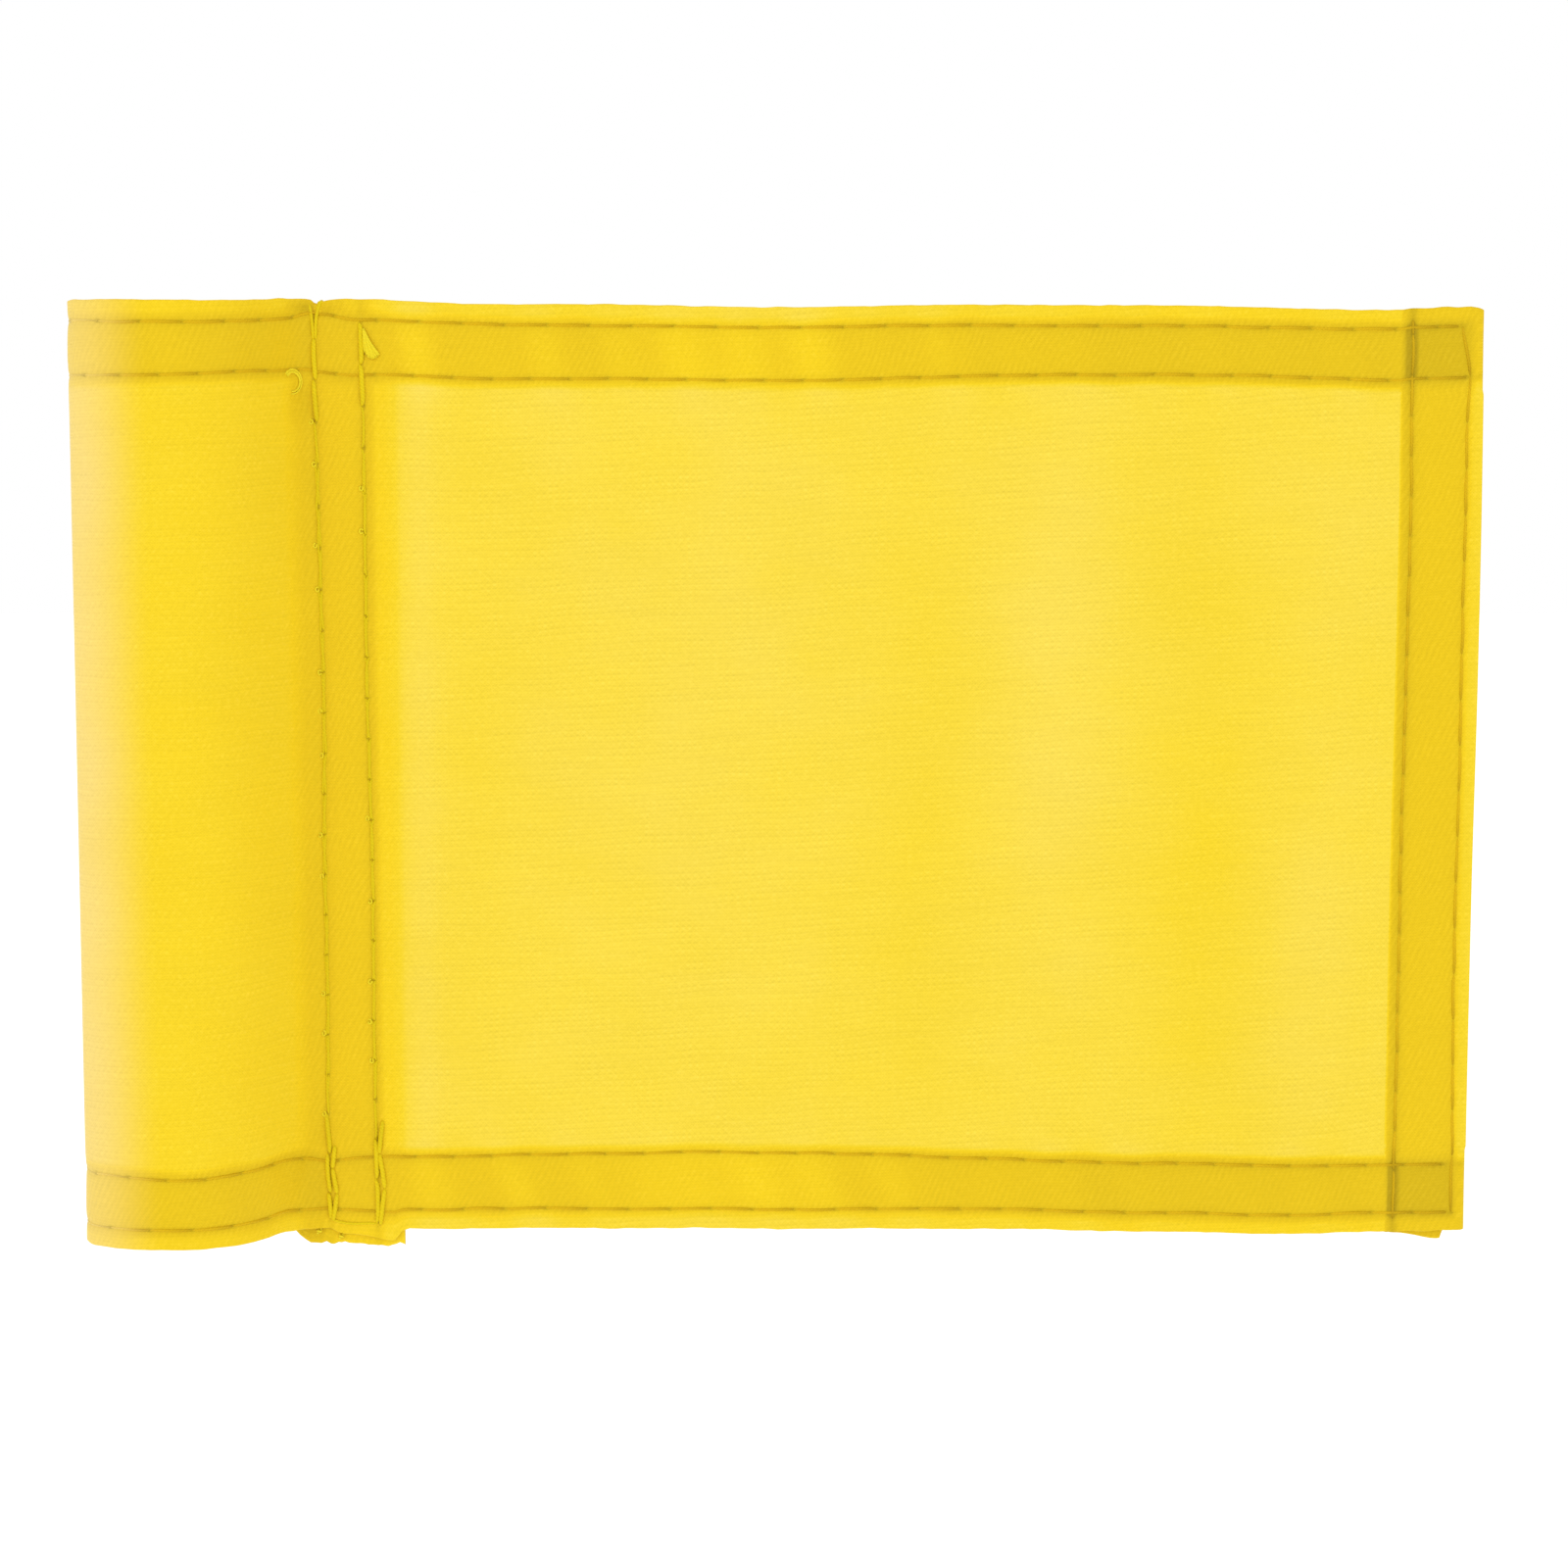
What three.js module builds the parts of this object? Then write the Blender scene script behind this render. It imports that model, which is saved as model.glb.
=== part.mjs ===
// A small hemmed nylon flag with a pole sleeve, on the rigid tube liner that slides over a pin or pole.
//
// Millimetres. +Z runs up the pole, +X runs from the pole to the fly edge, and -Y is the flag's face.
// The origin is on the liner's axis, at its bottom end, where it sits on the pole's collar.
//
// The flag is one rectangle of cloth. Its top and bottom edges are turned to the back and sewn down,
// then the fly edge is turned over them, then the other end is folded round the liner to the back
// and closed by two upright rows of stitches. The cloth bends beside that seam, so the model is cut
// there: the sleeve's pieces swivel round the liner, and the fly's pieces hinge on the sleeve.

import * as THREE from 'three';

// Flag
const FLAG_HEIGHT = 137;
const FLY_EDGE_X = 198;
const CLOTH = 0.25;              // one layer
const HEM = 2 * CLOTH;           // the two turned layers behind the face
const GAP = 0.03;                // air between neighbouring layers
const HEM_BAND = 12;             // from the finished edge to the hem's inner fold
const OUTER_ROW = 3;             // stitch rows, from the finished edge to the thread's middle
const INNER_ROW = 10.8;

// Liner tube
const LINER_OUTER_RADIUS = 5.9;
const LINER_INNER_RADIUS = 5;
const LINER_RECESS = 3;          // how far each end sits inside the sleeve
const LINER_CHAMFER = 0.15;
const LINER_SEGMENTS = 40;

// Sleeve: the loop's section is round at its back left, where it wraps the liner, and stands
// away from the liner in front, before it falls to the seam
const SLEEVE_RADIUS = 6.935;     // liner axis to the middle of the cloth
const CREST_X = 9;               // the highest stretch of the loop's front
const CREST_DEPTH = 8.4;
const SEAM_ROWS_X = [28, 35];
const LOOP_END_X = 27.5;         // front and back layers meet here
const FLAP_END_X = 39.3;         // end of the layer folded to the back
const CURVE_STEPS = 8;

// Bend line between the sleeve and the fly
const HINGE_X = 40.5;
const CLOTH_TO_HINGE = 0.3;
const THREAD_TO_HINGE = 0.6;
const HEM_TO_HINGE = 1.3;

// Thread
const THREAD = 0.2;              // how far a strand stands off the cloth
const THREAD_WIDTH = 0.3;
const BACKTACK_LENGTH = 17;
const BACKTACK_SPACING = 0.6;
const SEAM_THREAD_END = 1.2;     // the seam thread stops this far inside the flag's edges

const FLAG_BOTTOM = -LINER_RECESS;
const FLAG_TOP = FLAG_BOTTOM + FLAG_HEIGHT;
const LINER_LENGTH = FLAG_HEIGHT - 2 * LINER_RECESS;

// The layers beside the seam: from the cloth's middle outwards to its own hem and strand. The face
// layer's and the flap's stacks then lie back to back with one gap between them.
const STACK = CLOTH / 2 + GAP + HEM + GAP + THREAD;
const FACE_Y = SLEEVE_RADIUS - 2 * STACK - GAP;   // middle of the face layer
const FACE_FRONT_Y = FACE_Y - CLOTH / 2;
const FACE_BACK_Y = FACE_Y + CLOTH / 2;
const FLAP_BACK_Y = SLEEVE_RADIUS + CLOTH / 2;

const group = new THREE.Group();

const cloth = () => new THREE.MeshStandardMaterial({ color: 0xf4ce1c, roughness: 0.7, metalness: 0 });
const hemCloth = () => new THREE.MeshStandardMaterial({ color: 0xe3bb16, roughness: 0.7, metalness: 0 });
const thread = () => new THREE.MeshStandardMaterial({ color: 0xcfc02a, roughness: 0.5, metalness: 0 });
const plastic = () => new THREE.MeshStandardMaterial({ color: 0xe9e7de, roughness: 0.4, metalness: 0 });

function addMesh(name, geometry, material) {
  const mesh = new THREE.Mesh(geometry, material);
  mesh.name = name;
  group.add(mesh);
  return mesh;
}

// A box between two corners
function addBox(name, low, high, material) {
  const size = high.map((value, axis) => value - low[axis]);
  const mesh = addMesh(name, new THREE.BoxGeometry(...size), material);
  mesh.position.set(...high.map((value, axis) => (value + low[axis]) / 2));
}

// The path moved sideways by a distance, to the left of its direction of travel
function offsetPath(path, distance) {
  return path.map((point, i) => {
    const before = path[Math.max(i - 1, 0)];
    const after = path[Math.min(i + 1, path.length - 1)];
    const arriving = point.clone().sub(i > 0 ? before : point).normalize();
    const leaving = after.clone().sub(i < path.length - 1 ? point : before).normalize();
    const first = i > 0 ? arriving : leaving;
    const last = i < path.length - 1 ? leaving : arriving;
    const along = first.clone().add(last).normalize();
    const miter = distance / along.dot(last);
    return new THREE.Vector2(point.x - along.y * miter, point.y + along.x * miter);
  });
}

// A strip's outline, between two distances to the left of a path
function stripShape(path, near, far) {
  return new THREE.Shape([...offsetPath(path, near), ...offsetPath(path, far).reverse()]);
}

function extrude(shape, depth) {
  return new THREE.ExtrudeGeometry(shape, { depth, bevelEnabled: false });
}

// The middle of the cloth in the sleeve, seen from above: along the face from the bend line to the
// seam, over the crest, round the liner, and back behind the face to the flap's end. The outside of
// the sleeve is to the left of this direction.
function sleevePath(frontEndX, flapEndX) {
  const path = new THREE.Path();
  path.moveTo(frontEndX, FACE_Y);
  path.lineTo(LOOP_END_X, FACE_Y);
  path.bezierCurveTo(CREST_X + 14.5, FACE_Y, CREST_X + 11, -CREST_DEPTH, CREST_X, -CREST_DEPTH);
  path.bezierCurveTo(CREST_X - 12.5, -CREST_DEPTH, -SLEEVE_RADIUS, -5.2, -SLEEVE_RADIUS, 0);
  path.absarc(0, 0, SLEEVE_RADIUS, Math.PI, Math.PI / 2, true);
  path.lineTo(flapEndX, SLEEVE_RADIUS);
  const points = path.getPoints(CURVE_STEPS);
  return points.filter((point, i) => i === 0 || point.distanceTo(points[i - 1]) > GAP);
}

function addSleeveStrip(name, path, near, far, bottom, top, material) {
  const mesh = addMesh(name, extrude(stripShape(path, near, far), top - bottom), material);
  mesh.position.z = bottom;
}

function addLiner() {
  const inner = LINER_INNER_RADIUS;
  const outer = LINER_OUTER_RADIUS;
  const edge = LINER_CHAMFER;
  const profile = [
    [inner + edge, 0], [outer - edge, 0], [outer, edge], [outer, LINER_LENGTH - edge],
    [outer - edge, LINER_LENGTH], [inner + edge, LINER_LENGTH], [inner, LINER_LENGTH - edge],
    [inner, edge], [inner + edge, 0],
  ].map(([radius, height]) => new THREE.Vector2(radius, height));
  const mesh = addMesh('pole_liner', new THREE.LatheGeometry(profile, LINER_SEGMENTS), plastic());
  mesh.rotation.x = Math.PI / 2;
}

// Where each top and bottom hem piece lies in height
const EDGES = [
  { name: 'top', hem: [FLAG_TOP - HEM_BAND, FLAG_TOP], row: (inset) => FLAG_TOP - inset },
  { name: 'bottom', hem: [FLAG_BOTTOM, FLAG_BOTTOM + HEM_BAND], row: (inset) => FLAG_BOTTOM + inset },
];
const ROWS = [
  { name: 'outer', inset: OUTER_ROW },
  { name: 'inner', inset: INNER_ROW },
];

// The sleeve turns its face outwards, so the hems lie inside the loop
function addSleeve() {
  const clothPath = sleevePath(HINGE_X - CLOTH_TO_HINGE, FLAP_END_X);
  const hemPath = sleevePath(HINGE_X - HEM_TO_HINGE, FLAP_END_X - GAP);
  const threadPath = sleevePath(HINGE_X - THREAD_TO_HINGE, FLAP_END_X - THREAD_TO_HINGE);
  const innerThreadPath = sleevePath(HINGE_X - HEM_TO_HINGE, FLAP_END_X - THREAD_TO_HINGE);
  const hemFace = -CLOTH / 2 - GAP;
  const outside = CLOTH / 2 + GAP;

  addSleeveStrip('sleeve_cloth', clothPath, -CLOTH / 2, CLOTH / 2, FLAG_BOTTOM, FLAG_TOP, cloth());
  for (const { name, hem, row } of EDGES) {
    addSleeveStrip(`sleeve_${name}_hem`, hemPath, hemFace - HEM, hemFace, ...hem, hemCloth());
    for (const { name: rowName, inset } of ROWS) {
      const low = row(inset) - THREAD_WIDTH / 2;
      const high = row(inset) + THREAD_WIDTH / 2;
      const label = `sleeve_${name}_hem_${rowName}`;
      addSleeveStrip(`${label}_needle_thread`, threadPath, outside, outside + THREAD, low, high, thread());
      addSleeveStrip(`${label}_bobbin_thread`, innerThreadPath, -STACK, -STACK + THREAD, low, high, thread());
    }
  }
}

// The thread that closes the sleeve goes down one row, across, and up the other
function seamThreadShape() {
  const half = THREAD_WIDTH / 2;
  const [left, right] = SEAM_ROWS_X;
  const low = FLAG_BOTTOM + SEAM_THREAD_END;
  const high = FLAG_TOP - SEAM_THREAD_END;
  return new THREE.Shape([
    [left - half, high], [left - half, low], [right + half, low], [right + half, high],
    [right - half, high], [right - half, low + THREAD_WIDTH], [left + half, low + THREAD_WIDTH],
    [left + half, high],
  ].map(([x, z]) => new THREE.Vector2(x, z)));
}

// The seam was sewn after the hems, so its threads pass over the hems' threads
function addSeamThreads() {
  const sides = [
    { name: 'needle', backY: FACE_FRONT_Y - 2 * GAP - THREAD },
    { name: 'bobbin', backY: FLAP_BACK_Y + 2 * GAP + 2 * THREAD },
  ];
  for (const { name, backY } of sides) {
    const mesh = addMesh(`sleeve_seam_${name}_thread`, extrude(seamThreadShape(), THREAD), thread());
    mesh.rotation.x = Math.PI / 2;
    mesh.position.y = backY;
  }
  const backtackBottom = FLAG_BOTTOM + SEAM_THREAD_END + 2 * THREAD_WIDTH;
  SEAM_ROWS_X.forEach((rowX, i) => {
    const middleX = rowX + BACKTACK_SPACING;
    const backY = FACE_FRONT_Y - 2 * GAP - THREAD;
    addBox(`sleeve_seam_backtack_${i + 1}`,
      [middleX - THREAD_WIDTH / 2, backY - THREAD, backtackBottom],
      [middleX + THREAD_WIDTH / 2, backY, backtackBottom + BACKTACK_LENGTH], thread());
  });
}

function addFly() {
  const hemStartX = HINGE_X + HEM_TO_HINGE;
  const flyHemX = FLY_EDGE_X - HEM_BAND;
  const hemFrontY = FACE_BACK_Y + GAP;
  const bobbinFrontY = hemFrontY + HEM + GAP;
  const needleBackY = FACE_FRONT_Y - GAP;

  addBox('fly_panel', [HINGE_X + CLOTH_TO_HINGE, FACE_FRONT_Y, FLAG_BOTTOM],
    [FLY_EDGE_X, FACE_BACK_Y, FLAG_TOP], cloth());
  for (const { name, hem, row } of EDGES) {
    addBox(`fly_${name}_hem`, [hemStartX, hemFrontY, hem[0]],
      [FLY_EDGE_X - GAP, hemFrontY + HEM, hem[1]], hemCloth());
    for (const { name: rowName, inset } of ROWS) {
      const low = row(inset) - THREAD_WIDTH / 2;
      const high = row(inset) + THREAD_WIDTH / 2;
      addBox(`fly_${name}_hem_${rowName}_needle_thread`,
        [HINGE_X + THREAD_TO_HINGE, needleBackY - THREAD, low],
        [FLY_EDGE_X - CLOTH, needleBackY, high], thread());
      addBox(`fly_${name}_hem_${rowName}_bobbin_thread`,
        [hemStartX, bobbinFrontY, low], [flyHemX - THREAD_WIDTH, bobbinFrontY + THREAD, high], thread());
    }
  }
}

// Down the fly edge's back, seen from its end: flat on the panel, and stepped over the finished
// top and bottom hems. To the left of this direction is the back.
function flyHemPath() {
  const panelY = FACE_BACK_Y + GAP;
  const overHemY = panelY + HEM + GAP;
  const stepLength = 1;
  const low = FLAG_BOTTOM + HEM_BAND + 2 * GAP;
  const high = FLAG_TOP - HEM_BAND - 2 * GAP;
  return [
    [FLAG_BOTTOM, overHemY], [low, overHemY], [low + stepLength, panelY],
    [high - stepLength, panelY], [high, overHemY], [FLAG_TOP, overHemY],
  ].map(([z, y]) => new THREE.Vector2(z, y));
}

function addFlyStrip(name, path, near, far, lowX, highX, material) {
  const mesh = addMesh(name, extrude(stripShape(path, near, far), highX - lowX), material);
  mesh.rotation.y = -Math.PI / 2;
  mesh.position.x = highX;
}

function addFlyEdge() {
  const path = flyHemPath();
  const bobbinPath = flyHemPath().map((point, i) => {
    const inward = i === 0 ? SEAM_THREAD_END : -SEAM_THREAD_END;
    return i === 0 || i === path.length - 1 ? new THREE.Vector2(point.x + inward, point.y) : point;
  });
  const needleBackY = FACE_FRONT_Y - 2 * GAP - THREAD;
  addFlyStrip('fly_edge_hem', path, 0, HEM, FLY_EDGE_X - HEM_BAND, FLY_EDGE_X, hemCloth());
  for (const { name, inset } of ROWS) {
    const low = FLY_EDGE_X - inset - THREAD_WIDTH / 2;
    const high = FLY_EDGE_X - inset + THREAD_WIDTH / 2;
    addBox(`fly_edge_hem_${name}_needle_thread`,
      [low, needleBackY - THREAD, FLAG_BOTTOM + SEAM_THREAD_END],
      [high, needleBackY, FLAG_TOP - SEAM_THREAD_END], thread());
    addFlyStrip(`fly_edge_hem_${name}_bobbin_thread`, bobbinPath, HEM + GAP, HEM + GAP + THREAD,
      low, high, thread());
  }
}

addLiner();
addSleeve();
addSeamThreads();
addFly();
addFlyEdge();

export default group;
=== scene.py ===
"""A small pin flag: one rectangle of coated nylon, hemmed on three edges, with a sleeve sewn round a liner.

Lengths are in millimetres in the part's own frame until a mesh is made. The cloth is one surface. A point
of it is named by (s, z, w): s runs along the cloth from the fly edge round the sleeve, z is the height
before any ripple, and w is the depth of its layer behind the face side of the cloth.
"""

import math

import bpy
import numpy as np
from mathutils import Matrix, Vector


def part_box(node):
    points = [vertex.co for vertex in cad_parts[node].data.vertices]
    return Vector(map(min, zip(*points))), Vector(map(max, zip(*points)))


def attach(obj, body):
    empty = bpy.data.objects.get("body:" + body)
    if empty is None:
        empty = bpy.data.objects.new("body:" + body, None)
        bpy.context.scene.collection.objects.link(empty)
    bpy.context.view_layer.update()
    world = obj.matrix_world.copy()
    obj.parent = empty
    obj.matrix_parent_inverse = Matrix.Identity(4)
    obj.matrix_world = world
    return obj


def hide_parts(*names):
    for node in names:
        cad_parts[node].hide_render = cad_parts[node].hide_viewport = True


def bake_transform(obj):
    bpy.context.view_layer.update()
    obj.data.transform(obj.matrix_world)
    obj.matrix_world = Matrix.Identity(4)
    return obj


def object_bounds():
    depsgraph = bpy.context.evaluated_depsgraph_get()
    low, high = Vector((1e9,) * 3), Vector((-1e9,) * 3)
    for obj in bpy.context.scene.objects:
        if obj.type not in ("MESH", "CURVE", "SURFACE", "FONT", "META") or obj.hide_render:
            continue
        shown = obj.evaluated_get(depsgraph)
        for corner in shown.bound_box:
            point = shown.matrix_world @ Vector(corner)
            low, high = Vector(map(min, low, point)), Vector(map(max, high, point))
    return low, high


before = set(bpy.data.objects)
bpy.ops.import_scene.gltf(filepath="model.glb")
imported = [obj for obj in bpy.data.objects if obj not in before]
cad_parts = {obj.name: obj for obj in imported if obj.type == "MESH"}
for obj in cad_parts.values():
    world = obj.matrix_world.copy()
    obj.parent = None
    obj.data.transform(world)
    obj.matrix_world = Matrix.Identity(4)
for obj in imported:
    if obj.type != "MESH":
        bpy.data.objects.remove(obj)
CAD_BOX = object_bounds()
MM = 0.001

# Sizes shared with the CAD part
EDGE_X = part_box("fly_edge_hem")[1][0] / MM
BOTTOM_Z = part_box("fly_bottom_hem")[0][2] / MM
TOP_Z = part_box("fly_top_hem")[1][2] / MM
LINER_BOTTOM_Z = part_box("pole_liner")[0][2] / MM
LINER_TOP_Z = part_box("pole_liner")[1][2] / MM
LINER_OUTER, LINER_INNER = 5.9, 5.0
FACE_Y = 5.135
SLEEVE_RADIUS = 6.935
LOOP_END_X, FLAP_END_X = 27.5, 39.3
CREST_X, CREST_Y = 8.0, -8.4      # where the loop stands furthest forward
HEM_BAND, OUTER_ROW, INNER_ROW = 12.0, 3.0, 10.8
SEAM_ROWS_X = (28.0, 35.0)
BEND_START_X, BEND_END_X = 37.0, 57.0

# How far the handles of the loop's curves reach from the seam, both ways from the crest, and from the liner
SEAM_HANDLE, CREST_HANDLES, LINER_HANDLE = 4.0, (11.0, 11.5), 5.2

# The cloth's layers
LAYER = 0.25
HEM_END, HIDDEN_EDGE = 12.0, 1.1  # a hem's inner fold and the cut edge inside it, from the edge
FLY_FOLD = 0.4                    # half the length of cloth in each fold of the fly hem
FLY_HEM, FLY_HIDDEN = 11.0, 10.4  # the fly hem's outer and hidden turns
TURN_S = -FLY_FOLD - FLY_HEM      # where it turns in
HIDDEN_S = -3 * FLY_FOLD - FLY_HEM
FLAT_GAP = 0.3                    # between face and flap beside the seam, away from the hems

HEM_THREAD_RADIUS, SEAM_THREAD_RADIUS = 0.2, 0.27
SEAM_LOW_Z = BOTTOM_Z + 1.5       # the seam's lowest holes
STITCH = 6.0                      # a usual length of stitch, for the marks of the holes


# ---- small maths
RIPPLE_WAVES, RIPPLE_PEAK = 5, 3.2
BELL_AREA = 0.886                 # half the area under a bell of width 1


def ease(t):
    """0 below 0, 1 above 1, and a smooth step between."""
    t = np.clip(t, 0, 1)
    return t * t * (3 - 2 * t)


def bell(value, centre, width):
    return np.exp(-(((value - centre) / width) ** 2))


def bumps(t, table):
    """The sum of bells along t. Each row of the table is a bell's centre, width and height."""
    return sum(height * bell(t, centre, width) for centre, width, height in table)


def ripple(t, wavelength, seed):
    """A smooth irregular wave along t, roughly from -1 to 1, the same each run."""
    rng = np.random.default_rng(seed)
    total = 0
    for _ in range(RIPPLE_WAVES):
        length, phase = wavelength * rng.uniform(0.65, 1.7), rng.uniform(0, 2 * math.pi)
        total = total + np.sin(2 * math.pi * t / length + phase)
    return total / RIPPLE_PEAK


# ---- the cloth's shape
def bezier(a, b, c, d, steps=48):
    t = np.linspace(0, 1, steps)[:, None]
    a, b, c, d = (np.array(p, float) for p in (a, b, c, d))
    return (1 - t) ** 3 * a + 3 * (1 - t) ** 2 * t * b + 3 * (1 - t) * t * t * c + t**3 * d


def sleeve_line():
    """The face side's line from the seam over the crest and round the liner to the flap's end: its points,
    the length along it, its inward direction, and the length at which its round part ends."""
    seam, crest, left = (LOOP_END_X, FACE_Y), (CREST_X, CREST_Y), (-SLEEVE_RADIUS, 0)
    to_seam, to_left = CREST_HANDLES
    front = bezier(seam, (LOOP_END_X - SEAM_HANDLE, FACE_Y), (CREST_X + to_seam, CREST_Y), crest)
    left = bezier(crest, (CREST_X - to_left, CREST_Y), (-SLEEVE_RADIUS, -LINER_HANDLE), left)
    turn = np.linspace(math.pi, math.pi / 2, 30)
    back = np.stack([SLEEVE_RADIUS * np.cos(turn), SLEEVE_RADIUS * np.sin(turn)], 1)
    flat = np.stack([np.linspace(0, FLAP_END_X, 60), np.full(60, SLEEVE_RADIUS)], 1)
    line = np.concatenate([front, left[1:], back[1:], flat[1:]])
    along = np.concatenate([[0], np.cumsum(np.hypot(*np.diff(line, axis=0).T))])
    step = np.gradient(line, along, axis=0)
    step /= np.linalg.norm(step, axis=1)[:, None]
    round_end = along[-60]
    return line, along, np.stack([step[:, 1], -step[:, 0]], 1), round_end


LINE, LINE_LENGTH, LINE_INWARD, ROUND_END = sleeve_line()
SLEEVE_S = EDGE_X - LOOP_END_X
S_START = -(2 * FLY_FOLD + FLY_HEM + FLY_HIDDEN)
SEAM_S = EDGE_X - SEAM_ROWS_X[0]
S_END = SLEEVE_S + LINE_LENGTH[-1]
FLAP_S = S_END - (FLAP_END_X - LOOP_END_X)


def face_s(x):
    """s of a place on the front of the flag."""
    return EDGE_X - x


def flap_s(x, z=0):
    """s of a place on the flap, the same at any height z. fly_back_s takes the same two."""
    return S_END - (FLAP_END_X - x)


def edge_distance(z):
    """The distance from the nearer of the top and bottom edges."""
    return np.minimum(TOP_Z - z, z - BOTTOM_Z)


def layers_in_height(z):
    """1 between the hems and 3 inside them."""
    return 1 + 2 * (1 - ease((edge_distance(z) - HEM_END) / 0.9))


def fly_edge_x(z):
    """Where the fold at the fly edge starts to turn. It is rounder where the hems cross it."""
    return EDGE_X - (3 * LAYER * layers_in_height(z) - LAYER) / 2


def fly_turn_x(z):
    """Where the fly hem's inner fold starts to turn."""
    return EDGE_X - HEM_BAND + LAYER * layers_in_height(z) - LAYER / 2


def exact_face_s(x, z):
    """s of a point of the face, allowing for the fold at the fly edge."""
    return FLY_FOLD + (fly_edge_x(z) - x) / (fly_edge_x(z) - LOOP_END_X) * (SLEEVE_S - FLY_FOLD)


# Broad slopes of the hanging cloth: x, z, half width, half height, and slope (positive faces the pole side)
SLOPES = (
    (136, 82, 9, 34, 0.11),
    (158, 45, 9, 36, -0.13),
    (158, 100, 8, 22, -0.05),
    (86, 80, 15, 46, 0.06),
    (115, 42, 8, 30, -0.07),
    (116, 95, 8, 30, -0.035),
    (49, 80, 7, 60, -0.04),
    (178, 104, 8, 16, 0.06),
    (174, 36, 8, 18, 0.07),
    (64, 60, 8, 40, 0.03),
)


def drape(x, z):
    """How far the hanging cloth stands behind the flat one."""
    y = 0
    for centre, height, width, reach, slope in SLOPES:
        y = y - slope * width * BELL_AREA * np.tanh(1.2 * (x - centre) / width) * bell(z, height, reach)
    # The top and the bottom also swing opposite ways
    swing = 0.5 * np.sin((x - 60) / 26) * (z - 70) / 64
    return (y + swing) * ease((x - 36) / 26)


def hem_ripple(s, z):
    """Short ripples that the stitching draws into the hems."""
    below, above = TOP_Z - z, z - BOTTOM_Z
    top = ripple(s + 0.25 * below, 13, 3) * bell(below, 6.5, 5.5)
    return 0.26 * (top + ripple(s - 0.5 * above, 12, 8) * bell(above, 6.5, 5.5))


class Row:
    """A row of stitches at place, one each pitch. It wanders a little, and leaves its place by shift(t)."""

    def __init__(self, name, place, pitch, phase, seed, shift, wander=0.12):
        self.name, self.place, self.pitch, self.phase = name, place, pitch, phase
        self.seed, self.wander, self.shift = seed, wander, shift

    def line(self, t):
        wander = self.wander * ripple(t, 45, self.seed) + 0.05 * ripple(t, 9, self.seed + 50)
        return self.place + wander + self.shift(t)


class HemRow(Row):
    """A row along s, at line(s) from the top or bottom edge. pulls are bumps away from that edge."""

    def __init__(self, name, top, place, pitch, phase, seed, pulls=()):
        super().__init__(name, place, pitch, phase, seed, self.pulled)
        self.top, self.inner, self.pulls = top, place == INNER_ROW, pulls

    def pulled(self, s):
        """It also draws nearer to the edge towards the fly."""
        near_fly = 0.6 * ease(1 - s / 150) if self.inner else 0.25 * ease(1 - s / 60)
        return bumps(s, self.pulls) - near_fly

    def height(self, s):
        return TOP_Z - self.line(s) if self.top else BOTTOM_Z + self.line(s)


def seam_1_shift(z):
    return 0.22 * bell(z, 52, 38) - 0.35 * ease((z - 95) / 25)


def seam_2_shift(z):
    return 0.5 * (65 - z) / 68 - 0.1


def fly_outer_shift(z):
    corner = bumps(z, ((TOP_Z - 2.8, 3.2, -0.85), (TOP_Z - 11, 3.5, 0.35)))
    return corner + 0.25 * ease((60 - z) / 50)


def fly_inner_shift(z):
    return 0.2 * ease((z - 60) / 60) - 0.15 * ease((30 - z) / 30)


TOP_OUTER = HemRow("top_hem_outer", True, OUTER_ROW, 6.2, 0.0, 11, ((SEAM_S, 3.2, -1.05),))
TOP_PULLS = ((SEAM_S - 5.5, 3.5, 0.35), (SEAM_S + 2, 3, -0.2), (SEAM_S + 13, 12, -0.75), (45, 30, -0.35))
TOP_INNER = HemRow("top_hem_inner", True, INNER_ROW, 5.7, 2.0, 12, TOP_PULLS)
BOTTOM_OUTER = HemRow("bottom_hem_outer", False, OUTER_ROW, 6.2, 1.0, 13)
BOTTOM_PULLS = ((108, 34, 0.95), (SEAM_S + 24, 7, -0.5), (SEAM_S - 0.5, 2.5, -0.6))
BOTTOM_INNER = HemRow("bottom_hem_inner", False, INNER_ROW, 5.7, 3.0, 14, BOTTOM_PULLS)
HEM_ROWS = (TOP_OUTER, TOP_INNER, BOTTOM_OUTER, BOTTOM_INNER)
FLY_OUTER = Row("fly_edge_hem_outer", EDGE_X - 2.4, 6.8, 1.5, 15, fly_outer_shift)
FLY_INNER = Row("fly_edge_hem_inner", EDGE_X - 10.6, 5.9, 0.4, 16, fly_inner_shift)
SEAM_ROW_1 = Row("seam_1", SEAM_ROWS_X[0], 6.0, 2.4, 17, seam_1_shift, 0.2)
SEAM_ROW_2 = Row("seam_2", SEAM_ROWS_X[1], 6.0, 4.6, 18, seam_2_shift, 0.25)
UPRIGHT_ROWS = (SEAM_ROW_1, SEAM_ROW_2, FLY_INNER, FLY_OUTER)


def groove(distance):
    """Depth of the furrow that tight stitches press into the cloth."""
    return bumps(distance, ((0, 0.42, 0.17), (0, 1.5, 0.11)))


def outside_corner(row, x, z):
    """Where a row's line runs on past its last stitch: the outer rows are one seam, which turns at the fly
    edge's two corners."""
    if row in (TOP_OUTER, BOTTOM_OUTER):
        return x > FLY_OUTER.line(z) + 0.1
    if row is FLY_OUTER:
        return (z > TOP_OUTER.height(face_s(x)) + 0.1) | (z < BOTTOM_OUTER.height(face_s(x)) - 0.1)
    return np.zeros(np.broadcast(x, z).shape, bool)


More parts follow.
